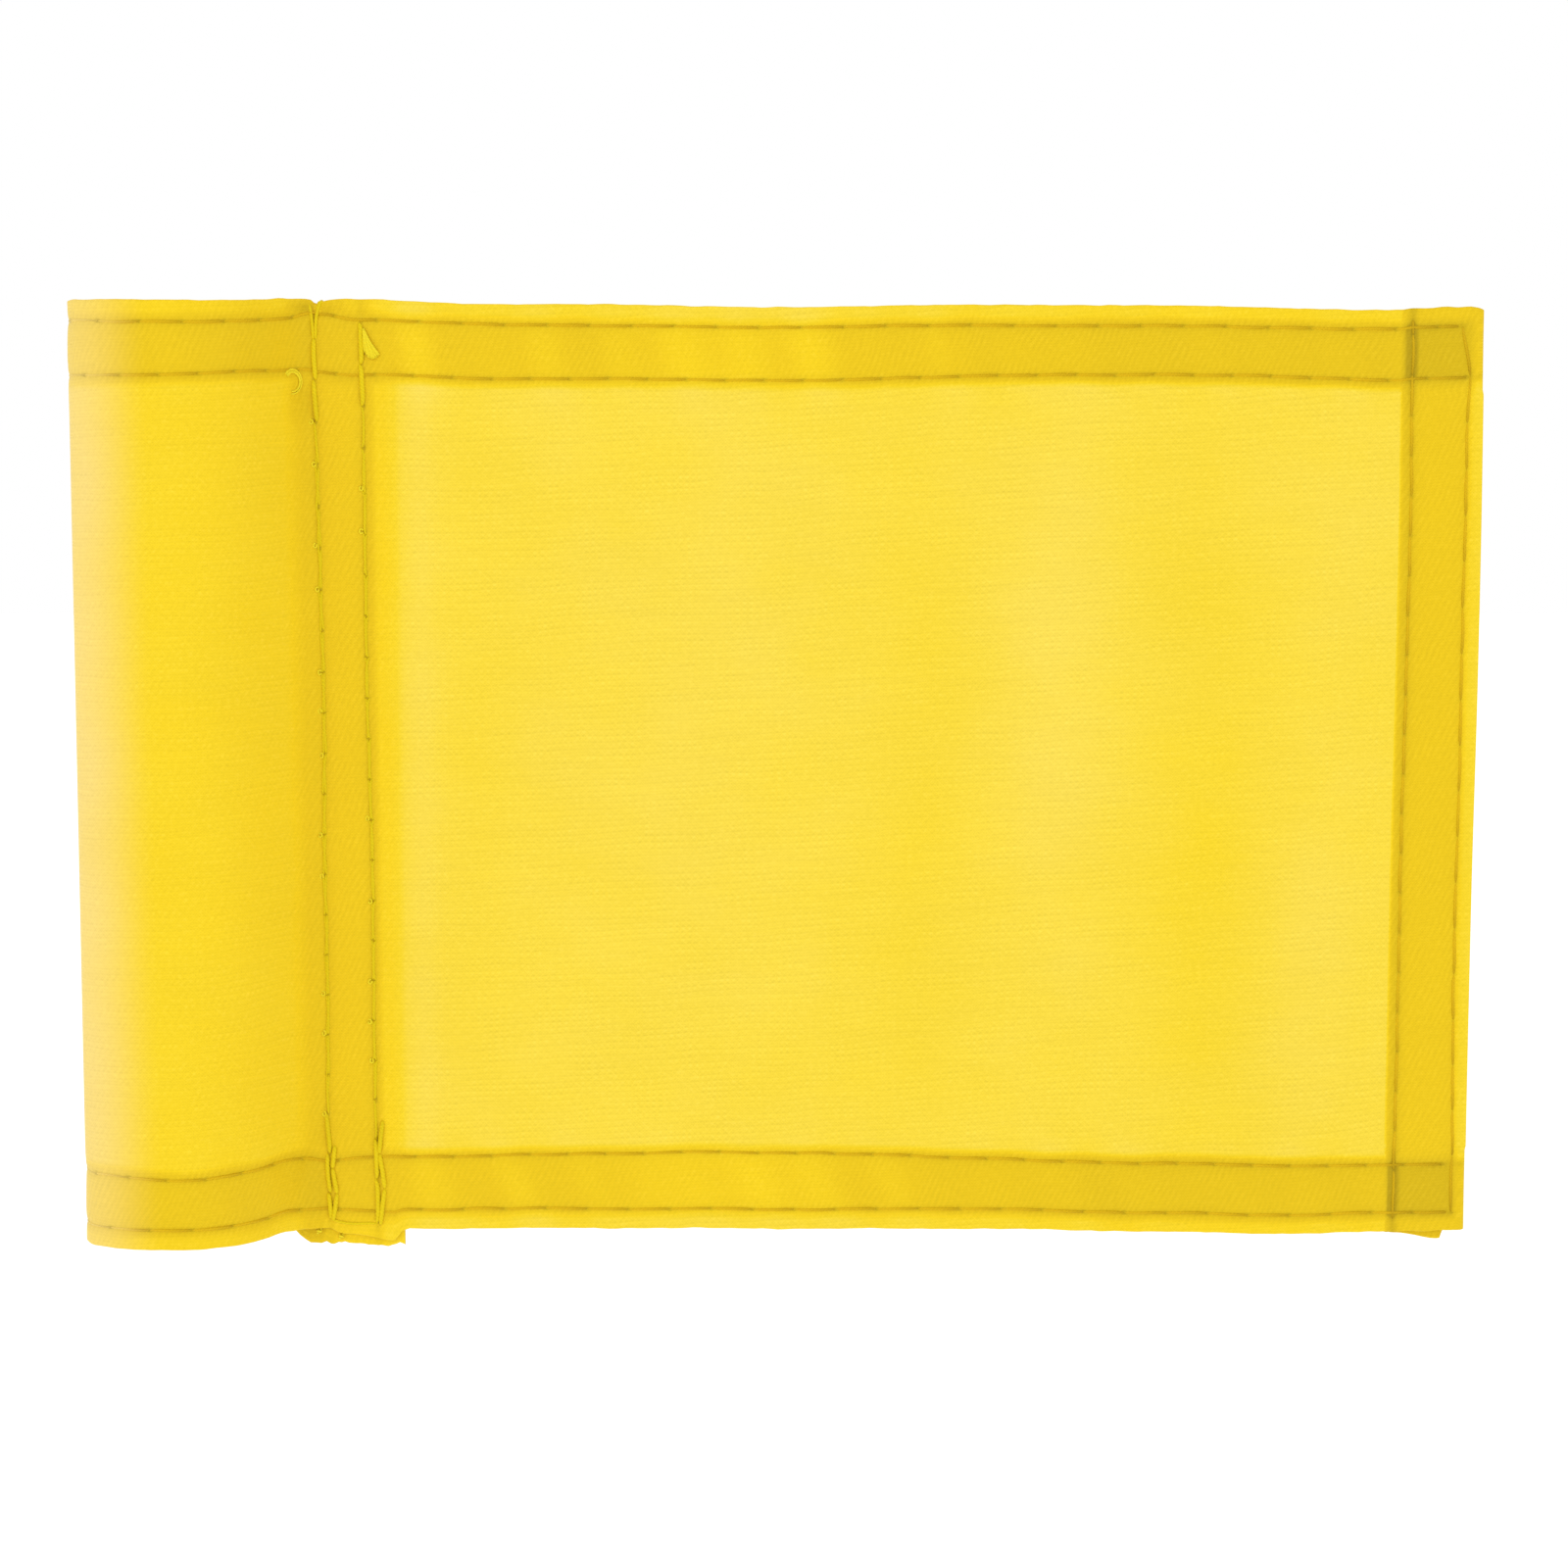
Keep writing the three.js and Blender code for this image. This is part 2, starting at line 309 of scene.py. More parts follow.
def furrows(x, s, z):
    """The depth of all the furrows at a place, of which the deepest counts."""
    depth = np.zeros(np.broadcast(x, s, z).shape)
    for row in HEM_ROWS:
        depth = np.maximum(depth, groove(z - row.height(s)) * ~outside_corner(row, x, z))
    for row in UPRIGHT_ROWS:
        sewn = ((s < SLEEVE_S + 4) | (s > FLAP_S - 4)) & ~outside_corner(row, x, z)
        depth = np.maximum(depth, groove(x - row.line(z)) * sewn)
    return depth


def folded_x(s):
    """Roughly where s lies along the flag, for layers folded at the fly edge too."""
    back = EDGE_X - HEM_BAND
    return np.where(s > 0, EDGE_X - s, np.where(s > -HEM_BAND, EDGE_X + s, back - HEM_BAND - s))


# Waves of the top and bottom edges: x, half width, and how far up they go
TOP_WAVES = ((98, 16, -0.3), (34, 16, 0.75), (186, 15, -0.75), (166, 14, -0.3))
BOTTOM_WAVES = ((92, 30, 0.2), (172, 26, -0.95), (20.5, 4, 0.55))


def rims(s, z):
    """How far the two edges leave their straight lines, for a layer at s."""
    x = folded_x(s)
    on_front = (s > 0) & (s < SLEEVE_S + 20)
    top = 0.12 * ripple(s, 30, 21) + bumps(x, TOP_WAVES)
    # The fly hem and the loop stand a little higher than the panel between them
    top = top + 0.2 * ease((x - EDGE_X + 11.7) / 1.6) + 0.25 * (s > SLEEVE_S) * (s < FLAP_S)
    bottom = 0.1 * ripple(s, 34, 22) + bumps(x, BOTTOM_WAVES)
    shift = top * ease((z - 70) / 60) + bottom * ease((60 - z) / 60)
    tip_top, tip_bottom = np.exp(-(TOP_Z - z) / 2.2), np.exp(-(z - BOTTOM_Z) / 2.2)
    scallop = 0.07 * ripple(s, 6.2, 23) + 0.03 * ripple(s, 2.6, 24)
    # The fly hem's hidden turn is drawn in, so that it doesn't show past the edges
    scallop = scallop - 0.45 * ease((HIDDEN_S - s) / 2)
    corner = -0.5 * ease(x - EDGE_X + 1) ** 2
    notch = bumps(x, ((SEAM_ROWS_X[0], 0.7, -0.35), (SEAM_ROWS_X[0], 2.4, -0.25)))
    shift = shift + (scallop + corner + np.where(on_front, notch, 0)) * tip_top - scallop * tip_bottom
    # The bottom hem is pushed down between the seam's rows
    pushed = (0.85 * ease((x - 28) / 2) + 0.95 * ease((x - 31) / 6.5)) * (1 - ease((x - 38) / 1.4))
    return shift - np.where(on_front, pushed, 0) * tip_bottom


def back_poke(s, z):
    """Back layers that show a little below the front: the flap's corner and the fly hem's outer turn."""
    tip = np.exp(-(z - BOTTOM_Z) / 3.5)
    x_flap = s - S_END + FLAP_END_X
    flap = np.where(s > FLAP_S - 6, 2.3 * ease((x_flap - 22) / 3) + 0.35 * bell(x_flap, 36, 3), 0)
    frayed = ease((x_flap - 23) / 1.5) * (1 - 0.8 * bell(x_flap, 34, 3.5))
    fray = np.where(s > FLAP_S - 6, frayed * (0.3 * ripple(s, 2.0, 31) + 0.12 * ripple(s, 1.0, 32)), 0)
    hem = 1.5 * ease((-s - 2.4) / 0.6) * bell(np.maximum(-s - 3.2, 0), 0, 6)
    return -(flap + fray + hem) * tip


def place(s, z, w):
    """Points of the cloth for arrays s, z and w, and the level direction from its face to its back side."""
    s, z, w = np.broadcast_arrays(*(np.asarray(v, float) for v in (s, z, w)))
    thick = LAYER * layers_in_height(z)
    edge_radius = (3 * thick - LAYER) / 2
    turn_radius = thick - LAYER / 2
    edge_x, turn_x = fly_edge_x(z), fly_turn_x(z)

    def span(start, end):
        return np.clip((s - start) / (end - start), 0, 1)

    # Where a point stands before furrows
    face = edge_x + (LOOP_END_X - edge_x) * span(FLY_FOLD, SLEEVE_S)
    outer = edge_x + (turn_x - edge_x) * span(-FLY_FOLD, TURN_S)
    hidden = turn_x + (edge_x - 0.5 - turn_x) * span(HIDDEN_S, S_START)
    on_sleeve, on_face = s >= SLEEVE_S, (s >= FLY_FOLD) & (s < SLEEVE_S)
    on_edge, on_outer = np.abs(s) < FLY_FOLD, (s <= -FLY_FOLD) & (s > TURN_S)
    on_hidden = s <= HIDDEN_S
    on_turn = ~(on_sleeve | on_face | on_edge | on_outer | on_hidden)
    on_fold = on_edge | on_turn
    on_flap = on_sleeve & (s > FLAP_S)
    on_loop = on_sleeve & ~on_flap

    path = s - SLEEVE_S
    line_x, line_y = (np.interp(path, LINE_LENGTH, LINE[:, i]) for i in (0, 1))
    in_x, in_y = (np.interp(path, LINE_LENGTH, LINE_INWARD[:, i]) for i in (0, 1))
    # The flap lies on the face beside the seam, kept off it by six layers at the hems
    beyond = edge_distance(z) - HEM_END
    gap = FLAT_GAP + (6 * LAYER - LAYER - FLAT_GAP) * (1 - ease((beyond - 0.4) / 12))
    closing = (SLEEVE_RADIUS - FACE_Y - gap) * ease((line_x - 3) / 21)
    line_y = line_y - np.where(path > ROUND_END, closing, 0)

    x = np.select([on_sleeve, on_face, on_outer, on_hidden], [line_x, face, outer, hidden], edge_x)
    total = np.where(x > EDGE_X - HEM_BAND, 3 * thick, thick)
    total = np.where((x > LOOP_END_X) & (x < FLAP_END_X) & ~on_hidden, 2 * thick, total)
    total = np.where(on_loop, thick, total)
    depth = furrows(x, s, z)
    from_front = np.where(on_hidden, thick + w, w)
    # A furrow presses the layers together as far as their thickness allows, then carries them all with it
    room = np.maximum(total - LAYER, LAYER)
    most = 0.46 * room
    pressed = most * np.tanh(depth / most)
    carried = 0.5 * (depth - pressed)
    squeeze = pressed * (1 - 2 * from_front / room) + np.where(on_loop, carried, 0)
    inside = w + np.where(on_fold, 0, squeeze)

    # Fly edge and the turn at the hem's inner side
    edge_angle = np.pi * (FLY_FOLD - s) / (2 * FLY_FOLD)
    turn_angle = np.pi * (TURN_S - s) / (2 * FLY_FOLD)
    edge_bend, turn_bend = edge_radius - w, turn_radius - w
    flat_y = FACE_Y + np.select([on_face, on_outer, on_hidden],
                                [inside, 3 * thick - LAYER - inside, thick + inside], 0)
    bend_x = np.where(on_edge, edge_x + edge_bend * np.sin(edge_angle),
                      turn_x - turn_bend * np.sin(turn_angle))
    bend_y = FACE_Y + np.where(on_edge, edge_radius - edge_bend * np.cos(edge_angle),
                               2 * thick - LAYER / 2 + turn_bend * np.cos(turn_angle))
    x = np.where(on_fold, bend_x, np.where(on_sleeve, line_x + in_x * inside, x))
    y = np.where(on_fold, bend_y, np.where(on_sleeve, line_y + in_y * inside, flat_y))
    y = y + np.where(on_loop | on_fold, 0, carried)
    inward_y = np.select([on_sleeve, on_face, on_hidden], [in_y, 1.0, 1.0], -1.0)
    inward_x = np.where(on_sleeve, in_x, 0.0)

    y = y + np.where(on_loop & (line_x < LOOP_END_X), 0, drape(x, z))
    strength = np.where(on_sleeve, ease((s - SLEEVE_S - 3) / 8) * 0.5 * ~on_flap, ease((x - 33) / 10))
    rippled = hem_ripple(np.where(on_sleeve, s, EDGE_X - x), z) * strength
    x, y = x + inward_x * rippled, y + np.where(on_sleeve, inward_y, 1.0) * rippled
    # The seam's thread wraps the top edge in a notch, and pulls a slanting crease into the cloth at each hem
    pinch = 0.75 * bell(s, SEAM_S, 1.8) * bell(TOP_Z - z, 0.9, 1.7)
    crease = s - SEAM_S - 1.7 + 0.22 * (TOP_Z - 14.5 - z)
    pinch = pinch + 0.4 * bell(crease, 0, 1.0) * bell(TOP_Z - z, 15, 4)
    crease = s - SEAM_S - 2.6 - 0.5 * (BOTTOM_Z + 11 - z)
    pinch = pinch + 0.35 * bell(crease, 0, 1.1) * bell(z - BOTTOM_Z, 10, 4.5)
    y = y + np.where(on_face | on_sleeve, pinch, 0)
    z = z + rims(s, z) + back_poke(s, z)
    return np.stack([x, y, z], -1), np.stack([inward_x, inward_y, np.zeros_like(x)], -1)


# ---- sampling the cloth
def spread(start, end, step, fine=(), fine_step=0.35, reach=1.2):
    """Stations from start to end: step apart, and fine_step apart near the places in fine."""
    stations, at = [start], start
    while at < end - 0.3 * step:
        near = min([abs(at - f) for f in fine], default=9e9)
        mix = min(max((near - reach) / (2 * reach), 0), 1)
        at += fine_step + (step - fine_step) * mix
        stations.append(min(at, end))
    stations[-1] = end
    return stations


def height_stations():
    """(z, w) of each line of the cloth, from the top hem's hidden edge over the face to the bottom hem's."""
    rows = (OUTER_ROW, INNER_ROW)
    hidden = [(d, LAYER) for d in spread(HIDDEN_EDGE, HEM_END - LAYER / 2, 3.2)]
    turn = [(HEM_END - LAYER / 2 + LAYER / 2 * math.sin(a), 1.5 * LAYER - LAYER / 2 * math.cos(a))
            for a in np.linspace(0, math.pi, 5)[1:-1]]
    outer = [(d, 2 * LAYER) for d in spread(LAYER, HEM_END - LAYER / 2, 1.3, rows, 0.34, 0.7)][::-1]
    edge = [(LAYER - LAYER * math.sin(a), LAYER + LAYER * math.cos(a))
            for a in np.linspace(0, math.pi, 8)[1:-1]]
    hem = hidden + turn + outer + edge
    face = spread(LAYER, 14.5, 1.2, (*rows, HEM_END + 0.4), 0.3, 0.8)
    middle = spread(14.5, TOP_Z - BOTTOM_Z - 14.5, 1.35)[1:-1]
    top = [(TOP_Z - d, w) for d, w in hem]
    across = [(TOP_Z - d, 0.0) for d in face + middle] + [(BOTTOM_Z + d, 0.0) for d in face[::-1]]
    bottom = [(BOTTOM_Z + d, w) for d, w in hem[::-1]]
    return np.array(top + across + bottom)


def length_stations():
    """s of each upright line of the cloth."""
    fly = (OUTER_ROW, INNER_ROW)
    hidden = spread(S_START, HIDDEN_S, 1.6)[:-1]
    turn = list(np.linspace(HIDDEN_S, TURN_S, 6))[:-1]
    outer = spread(TURN_S, -FLY_FOLD, 1.2, [-f for f in fly], 0.34, 0.7)[:-1]
    edge = list(np.linspace(-FLY_FOLD, FLY_FOLD, 9))[:-1]
    seam = [face_s(x) for x in SEAM_ROWS_X]
    face = spread(FLY_FOLD, SLEEVE_S, 1.15, (*fly, HEM_BAND, *seam), 0.34, 0.8)[:-1]
    loop = spread(SLEEVE_S, FLAP_S, 0.8, (), 0.4)[:-1]
    flap = spread(FLAP_S, S_END, 0.6, [flap_s(x) for x in SEAM_ROWS_X], 0.36, 0.8)
    return np.array(hidden + turn + outer + edge + face + loop + flap)


def follow_rows(s, z):
    """How far to move each of the mesh's lines, so that each furrow has vertices along its bottom."""
    ds, dz = np.zeros_like(s), np.zeros_like(z)
    for row in HEM_ROWS:
        nominal = TOP_Z - row.place if row.top else BOTTOM_Z + row.place
        away = np.abs(z - nominal)
        far = (away - 1.4) / 2 if row.inner else away / 2.7
        dz += (row.height(s) - nominal) * np.clip(1 - far, 0, 1)
    for row in UPRIGHT_ROWS:
        reach = 1.9 if row is FLY_OUTER else 2.7
        near = np.maximum(0, 1 - np.abs(EDGE_X - s - row.place) / reach)
        ds += (exact_face_s(row.line(z), z) - face_s(row.place)) * near
    return ds, dz


def add_object(name, data):
    added = bpy.data.objects.new(name, data)
    bpy.context.collection.objects.link(added)
    return added


def new_object(name, vertices, faces):
    mesh = bpy.data.meshes.new(name)
    mesh.from_pydata([tuple(v) for v in np.asarray(vertices) * MM], [], faces)
    mesh.update()
    mesh.shade_smooth()
    return add_object(name, mesh)


def set_point_data(mesh, name, values):
    attribute = mesh.attributes.new(name, "FLOAT_VECTOR", "POINT")
    attribute.data.foreach_set("vector", np.asarray(values, np.float32).ravel())


def set_uv(mesh, name, uv):
    """uv has a pair of numbers for each vertex."""
    corners = np.empty(len(mesh.loops), np.int32)
    mesh.loops.foreach_get("vertex_index", corners)
    layer = mesh.uv_layers.new(name=name)
    layer.data.foreach_set("uv", uv[corners].astype(np.float32).ravel())


def nearest_row(distances, along):
    """The signed distance to the nearest row, and the place along it in stitches. Rows are in order, and the
    sign turns over from row to row, so that halfway between two rows it is the same from both sides."""
    turned = [d * (-1) ** i for i, d in enumerate(distances)]
    distances, along = np.stack(turned), np.stack(along)
    pick = np.abs(distances).argmin(0)[None]
    distance, along = (np.take_along_axis(values, pick, 0)[0] for values in (distances, along))
    return np.clip(distance, -4, 4), along


def pole_side(x, y):
    """1 on the sleeve's pole side, where a painted highlight makes its colour pale."""
    return (1 - ease((x + 6) / 12)) * (1 - ease(y / 7))


# The painted highlight on the sleeve's pole side, a little weaker in the hems and uneven along the height
def pale_highlight(points, s, z):
    pale = pole_side(points[..., 0], points[..., 1]) * (s > SLEEVE_S)
    return pale * (1 - 0.25 * (layers_in_height(z) - 1) / 2) * (1 + 0.12 * ripple(z, 25, 41))


def light_through(x, z):
    """The single cloth looks paler where it leans towards the light, and deeper where it leans away."""
    lean = sum(slope * bell(x, cx, width) * bell(z, cz, reach) for cx, cz, width, reach, slope in SLOPES)
    return lean / 0.12


def layers_and_painted_light(x, s, z, depth):
    """How deep the colour is at a place: how many layers the eye looks into, with painted shade and light
    added as noted below. depth is the distance from the nearer hem's edge, as if its rows were straight."""
    fly_depth = EDGE_X - x
    in_hem = 1 - ease((depth - 11.0) / 1.6)
    in_fly = ease((x - (EDGE_X - HEM_BAND) + 0.1) / 0.5)
    on_front = s < SLEEVE_S
    on_loop = (s > SLEEVE_S) & (s < FLAP_S)
    count = 1 + 2 * np.maximum(in_hem, in_fly * ~on_loop)
    count = count + (1.3 * ease((x - 105) / 55) - 0.7 * bell(x, 89, 16)) * in_hem * (1 - in_fly) * on_front
    count = count + 4.8 * in_fly * (1 - ease((depth - 9.8) / 3.2)) * ~on_loop
    # Paler within about 2 mm of the top, bottom and fly edges
    rim = np.maximum(1 - ease((depth - 1.3) / 1.8), (1 - ease((fly_depth - 1.0) / 1.8)) * ~on_loop)
    count = count - 1.6 * rim * (count - 0.6) / 2.4
    # Painted shade in a band beside the fly hem's inner row, and along that row in the hems' corners
    count = count + 2.2 * bell(x, FLY_INNER.line(z) - 0.5, 1.0) * (x > EDGE_X - HEM_BAND) * ~on_loop
    count = count + 3.2 * bell(x, FLY_INNER.line(z), 0.55) * (1 - ease((depth - 12.5) / 2.5)) * ~on_loop
    # Painted light and shade where the panel leans towards and away from the light
    count = count - 0.42 * light_through(x, z) * on_front * ease((x - 42) / 10)
    # The hems' ripples, shaped in the mesh, are also painted as shade and light
    count = count + 1.7 * hem_ripple(s + 1.5, z)
    # Shade under the edge on both sides of the notch, and where the sleeve dips to the seam below the hem
    below = TOP_Z - z
    tucked = 5.0 * bell(x, 26.4, 1.7) * bell(below, 1.2, 0.75)
    tucked = tucked + 3.0 * bell(x, 30.4, 1.4) * bell(below, 1.0, 0.7)
    tucked = tucked + 1.2 * bell(x, 25.6, 1.6) * bell(below, 14.5, 3.6)
    count = count + tucked * (s < FLAP_S) * (s > 0)
    seam = ease((x - LOOP_END_X + 2.5) / 3) * (1 - ease((x - SEAM_ROWS_X[1] - 0.3) / 1.5))
    flap = ease((x - SEAM_ROWS_X[1]) / 1.5) * (1 - ease((x - FLAP_END_X + 1.2) / 2.4))
    double = (1.9 - 0.9 * in_hem) * seam + (0.9 - 0.7 * in_hem) * flap
    double = double - 0.22 * bell(x, FLAP_END_X + 3.6, 2.2) * on_front
    # The loop is painted deeper than the single panel, and deeper still towards the seam: painted shade where
    # it turns away from the light
    return np.where(on_loop, count + 0.75 + 1.8 * ease((x - 23) / 4.5), count + double)


def make_cloth():
    lines, stations = height_stations(), length_stations()
    s, z = np.meshgrid(stations, lines[:, 0], indexing="ij")
    w = np.broadcast_to(lines[:, 1], s.shape)
    ds, dz = follow_rows(s, z)
    s, z = s + ds, z + dz
    points, _ = place(s, z, w)
    columns, rows = s.shape
    index = np.arange(columns * rows).reshape(columns, rows)
    quads = np.stack([index[:-1, :-1], index[:-1, 1:], index[1:, 1:], index[1:, :-1]], -1).reshape(-1, 4)
    piece = new_object("flag_cloth", points.reshape(-1, 3), quads.tolist())
    mesh = piece.data

    run = np.concatenate([[0], np.cumsum(np.hypot(np.diff(lines[:, 0]), np.diff(lines[:, 1])))])
    up = run + np.where(lines[:, 1] > 1.5 * LAYER, 1, -1) * dz
    set_uv(mesh, "cloth", np.stack([s * MM, up * MM], -1).reshape(-1, 2))

    x = points[..., 0]
    upward = (BOTTOM_OUTER, BOTTOM_INNER, TOP_INNER, TOP_OUTER)
    hem, hem_along = nearest_row([z - r.height(s) for r in upward],
                                 [(s - r.phase) / r.pitch for r in upward])
    upright, upright_along = nearest_row([x - r.line(z) for r in UPRIGHT_ROWS],
                                         [(z - r.phase) / r.pitch for r in UPRIGHT_ROWS])
    # Where the rows' painted shade is drawn and how strongly: not past the rows' ends nor on the loop, weaker
    # near the fly edge, stronger on the seam between the hems, and deeper in the fly hem's corners
    past_hem_end = outside_corner(TOP_OUTER, x, z) & (edge_distance(z) < 6)
    past_fly_end = outside_corner(FLY_OUTER, x, z) & (x > EDGE_X - 6)
    off_seam = (s > SLEEVE_S + 3) & (s < FLAP_S - 3)
    corner = (x > EDGE_X - HEM_BAND + 1) & (edge_distance(z) < HEM_END - 0.5)
    upright_strength = np.where(past_fly_end | off_seam, 0, np.where(x > EDGE_X - 6.5, 0.45, 0.8))
    upright_strength = upright_strength * (1 + 0.8 * (x < BEND_END_X) * ease((edge_distance(z) - 11) / 3))
    set_point_data(mesh, "sewn", np.stack([~past_hem_end, upright_strength, corner], -1))
    set_point_data(mesh, "rows", np.stack([hem, upright, layers_and_painted_light(x, s, z, edge_distance(z - dz))], -1))
    set_point_data(mesh, "holes", np.stack([hem_along, upright_along, pale_highlight(points, s, z)], -1))
    return piece


# ---- threads
class Thread:
    """Tubes gathered into one piece."""

    def __init__(self, name):
        self.name, self.points, self.faces, self.uvs = name, [], [], []

    def tube(self, path, radius, sides=8):
        """A closed tube along path. radius is one number or one for each point."""
        path = np.asarray(path, float)
        radius = np.broadcast_to(radius, len(path))
        step = np.gradient(path, axis=0)
        step /= np.maximum(np.linalg.norm(step, axis=1), 1e-9)[:, None]
        side = np.cross(step[0], (0.13, 0.91, 0.39))
        start, run = len(self.points), 0.0
        for i, (point, direction) in enumerate(zip(path, step)):
            side = side - direction * side.dot(direction)
            side /= np.linalg.norm(side)
            other = np.cross(direction, side)
            run += 0 if i == 0 else np.linalg.norm(path[i] - path[i - 1])
            for k in range(sides):
                turn = 2 * math.pi * k / sides
                offset = side * math.cos(turn) + other * math.sin(turn)
                self.points.append(point + offset * radius[i])
                self.uvs.append((run, k / sides))
        for i in range(len(path) - 1):
            for k in range(sides):
                a, b = start + i * sides + k, start + i * sides + (k + 1) % sides
                self.faces.append((a, b, b + sides, a + sides))
        last = start + (len(path) - 1) * sides
        self.faces.append(tuple(start + k for k in range(sides))[::-1])
        self.faces.append(tuple(last + k for k in range(sides)))

    def stitch(self, where, start, end, lift, radius, sink=0.1, sway=0.0, slant=0.0, tuck=0.0):
        """One stitch from hole to hole: it comes out of the cloth, lies on it, and goes in again, where it is
        pulled thin. where(t) gives the surface's point and its inward direction. sway bows the stitch to its
        side, slant turns it, and tuck pulls its ends to one side."""
        parts = np.array([0, 0.03, 0.08, 0.16, 0.35, 0.5, 0.65, 0.84, 0.92, 0.97, 1])
        t = start + (end - start) * parts
        base, inward = where(t)
        ends = np.abs(2 * parts - 1) ** 9
        up = lift - 0.08 * parts * (1 - ends) - (sink + lift) * ends
        path = base - inward * up[:, None]
        along = path[-1] - path[0]
        side = np.cross(inward[len(inward) // 2], along / np.linalg.norm(along))
        aside = sway * np.sin(math.pi * parts) + slant * (0.5 - parts) - tuck * np.abs(2 * parts - 1) ** 6
        self.tube(path + side[None] * aside[:, None], radius * (1 - 0.65 * ends))

    def hem_stitches(self, where, holes, rng, sway):
        for a, b in holes:
            lift = 0.02 + rng.uniform(-0.02, 0.03)
            self.stitch(where, a, b, lift, HEM_THREAD_RADIUS, sink=0.07, sway=rng.uniform(-sway, sway))

    def build(self):
        piece = new_object(self.name, self.points, self.faces)
        mesh = piece.data
        set_uv(mesh, "thread", np.array(self.uvs, np.float32) * (MM, 1.0))
        x, y, z = np.array(self.points).T
        # Masks for the painted highlight on the pole side and the painted shade in the seam's middle and at
        # the fly hem's corners
        deep = ease((z - BOTTOM_Z - 11) / 3) * (1 - ease((z - TOP_Z + 15) / 3))
        corner = 1 - ease((edge_distance(z) - HEM_END + 0.6) / 1.2)
        corner = ease((x - EDGE_X + HEM_BAND) / 0.8) * corner
        set_point_data(mesh, "tones", np.stack([pole_side(x, y), deep, corner], -1))
        return piece


def holes_between(row, low, high):
    """The holes of a row between two places along it."""
    first = math.ceil((low - row.phase) / row.pitch)
    last = math.floor((high - row.phase) / row.pitch)
    return [row.phase + row.pitch * k for k in range(first, last + 1)]


def thread_name(name, needle):
    return f"{name}_{'needle' if needle else 'bobbin'}_thread"


def hem_thread(row, needle):
    """A hem row's needle thread lies on the face side, and its bobbin thread on the turned layer."""
    thread = Thread(thread_name(row.name, needle))
    rng = np.random.default_rng(row.seed * 2 + needle)
    sign = 1.0 if needle else -1.0
    depth = 0.0 if needle else 2 * LAYER

    def where(t):
        points, inward = place(t, row.height(t), depth)
        sunk = 0.16 * ease((3 - points[:, 0]) / 6) * (1 - ease(points[:, 1] / 6)) * needle
        return points + inward * sunk[:, None], inward * sign

    if not needle:
        holes = holes_between(row, HEM_BAND + 1, S_END - 0.6)
    elif row in (TOP_OUTER, BOTTOM_OUTER):
        corner = face_s(FLY_OUTER.line(row.height(3.0)))
        holes = [corner, *holes_between(row, corner + 2, S_END - 0.6)]
    else:
        holes = holes_between(row, TURN_S + 1, S_END - 0.6)
    # No stitch wraps the fly edge
    pairs = [(a, b) for a, b in zip(holes, holes[1:]) if not (needle and a < FLY_FOLD < b)]
    thread.hem_stitches(where, pairs, rng, 0.05)
    return thread


def upright_where(row, needle, back_s):
    """The surface under an upright row: the face on the needle side, the rearmost layer on the other."""

    def where(t):
        x = row.line(t)
        return place(exact_face_s(x, t) if needle else back_s(x, t), t, 0.0)

    return where


def fly_back_s(x, z):
    return -FLY_FOLD - FLY_HEM * (fly_edge_x(z) - x) / (fly_edge_x(z) - fly_turn_x(z))


def fly_row_ends(row):
    """Lowest and highest place of a fly row. The outer one turns at the hems' outer rows, and the inner one
    crosses them."""
    s, past = face_s(row.place), 0.0 if row is FLY_OUTER else 1.0
    return float(BOTTOM_OUTER.height(s)) - past, float(TOP_OUTER.height(s)) + past


def fly_thread(row, needle):
    thread = Thread(thread_name(row.name, needle))
    rng = np.random.default_rng(row.seed * 2 + needle)
    low, high = fly_row_ends(row)
    holes = [low, *holes_between(row, low + 2, high - 2), high]
    thread.hem_stitches(upright_where(row, needle, fly_back_s), zip(holes, holes[1:]), rng, 0.06)
    return thread


def seam_thread(needle):
    """Both rows of the sleeve seam are one thread: down one row, across the bottom, and up the other."""
    thread = Thread(thread_name("sleeve_seam", needle))
    rng = np.random.default_rng(70 + needle)
    for row in (SEAM_ROW_1, SEAM_ROW_2):
        where = upright_where(row, needle, flap_s)
        holes = [SEAM_LOW_Z, *holes_between(row, BOTTOM_Z + 4, TOP_Z - 2)]
        for a, b in zip(holes, holes[1:]):
            if row is SEAM_ROW_1:
                slant, tuck = rng.uniform(0.25, 0.5), 0.0
            else:
                slant, tuck = 0.1, rng.uniform(0.2, 0.4)
            # It is thicker and stands higher over the hems
            near_end = a < BOTTOM_Z + 12 or b > TOP_Z - 13
            lift = (0.18 if near_end else 0.0) + rng.uniform(-0.02, 0.03)
            radius = SEAM_THREAD_RADIUS * (1.45 if near_end else 0.9)
            thread.stitch(where, a, b, lift, radius, sway=rng.uniform(-0.1, 0.1), slant=slant, tuck=tuck)

    def bridge(t):
        return place(face_s(t) if needle else flap_s(t), SEAM_LOW_Z - 0.25 * bell(t, 31.5, 2), 0.0)

    thread.stitch(bridge, SEAM_ROW_1.line(SEAM_LOW_Z), SEAM_ROW_2.line(SEAM_LOW_Z), 0.06,
                  SEAM_THREAD_RADIUS * 0.8)
    if needle:
        top_wrap(thread, holes_between(SEAM_ROW_1, BOTTOM_Z + 4, TOP_Z - 2)[-1])
    return thread


